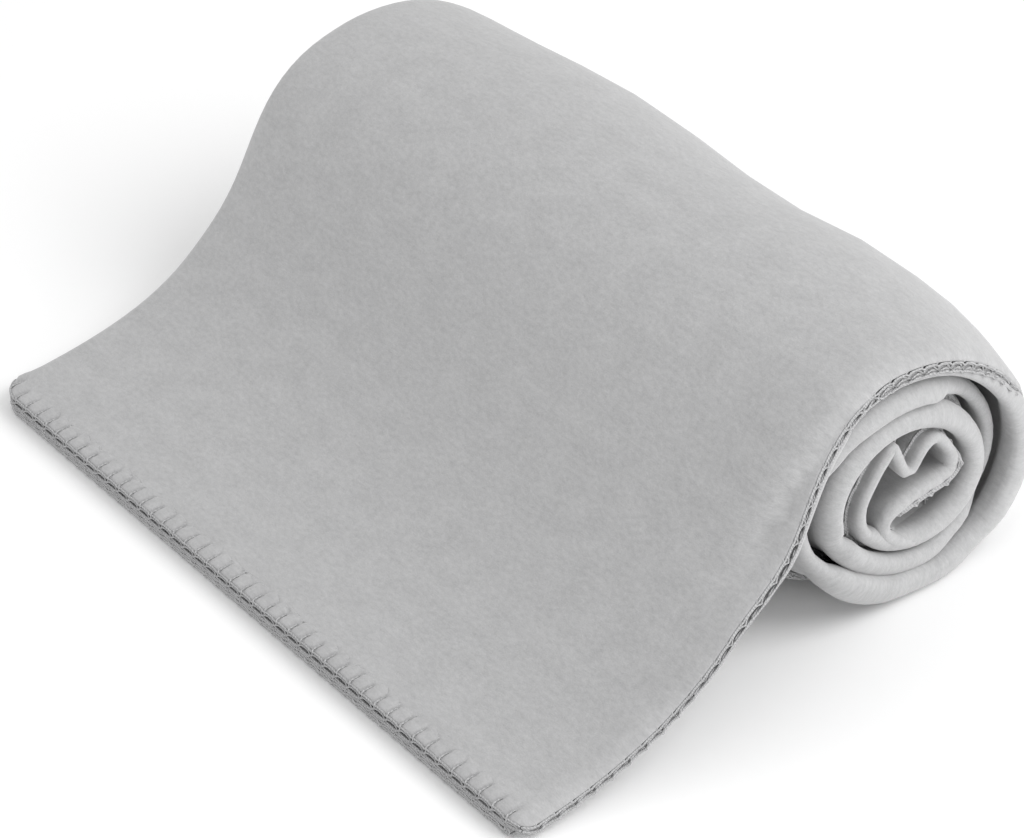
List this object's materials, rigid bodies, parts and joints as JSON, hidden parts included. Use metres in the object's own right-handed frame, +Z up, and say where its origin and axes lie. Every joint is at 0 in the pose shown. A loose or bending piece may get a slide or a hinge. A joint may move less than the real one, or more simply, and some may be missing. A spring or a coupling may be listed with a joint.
{
  "type": "rolled fleece throw blanket",
  "caption": "Soft fleece throw folded lengthwise into a strip, rolled into a cylinder with whip-stitched hems, its free end hanging off the roll and lying flat.",
  "frame": {"origin": "centre of the bounding box's bottom face, on the floor under the rolled blanket", "axes": "+X along the roll's axis towards the open spiral edges, -Y the way the free end lies, +Z up"},
  "size_m": [0.382, 0.2829, 0.1218],
  "materials": {
    "fleece": "matt brushed pile",
    "hem_yarn": "matt spun yarn"
  },
  "bodies": {
    "roll": {"wound_fleece": "fleece", "outer_side_hem_wound": "hem_yarn", "second_side_hem_wound": "hem_yarn", "core_end_hem": "hem_yarn"},
    "free_end": {"free_end_fleece": "fleece", "outer_side_hem_free": "hem_yarn", "second_side_hem_free": "hem_yarn", "front_end_hem": "hem_yarn"}
  },
  "joints": [
    {"name": "free_end_lift", "type": "hinge", "parent": "roll", "child": "free_end", "pos_m": [0, 0.04531, 0.1193], "axis": [-1, 0, 0], "range_deg": [0, 90]}
  ]
}
